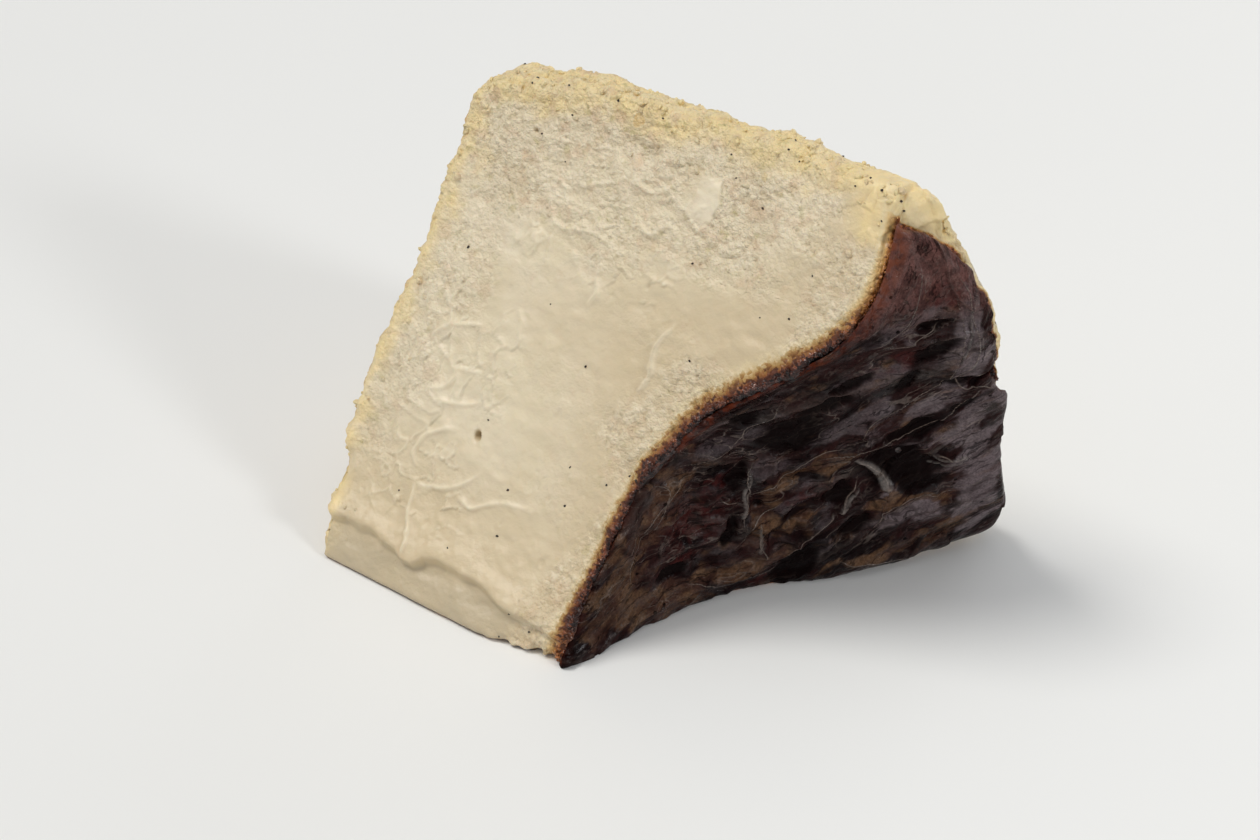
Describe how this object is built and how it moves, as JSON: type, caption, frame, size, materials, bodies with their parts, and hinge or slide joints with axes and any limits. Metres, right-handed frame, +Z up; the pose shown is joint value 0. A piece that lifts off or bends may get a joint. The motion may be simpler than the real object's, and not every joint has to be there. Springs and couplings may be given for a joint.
{
  "type": "slice of basque cheesecake",
  "caption": "Cut wedge of basque cheesecake standing on its outer rim, pale creamy cut faces and a dark burnt glossy top.",
  "frame": {"origin": "on the flat rim that the slice stands on, below the middle of its width and near the middle of its length", "axes": "+X along the cake's own axis, from the baked base to the burnt top; +Y across the slice, from the front cut face to the back one; +Z up, from the outer rim to the cut tip"},
  "size_m": [0.078, 0.0618, 0.0648],
  "materials": {
    "baked_cream_cheese": "pale warm ivory baked cream cheese, smooth where the knife smeared it and granular near its edges, barely shiny",
    "burnt_top": "almost black brown burnt skin with soft folds and fine wrinkles, glossy",
    "vanilla_seed": "tiny dry dark brown seeds"
  },
  "bodies": {
    "root": {"cheesecake_slice": "baked_cream_cheese"}
  },
  "joints": []
}
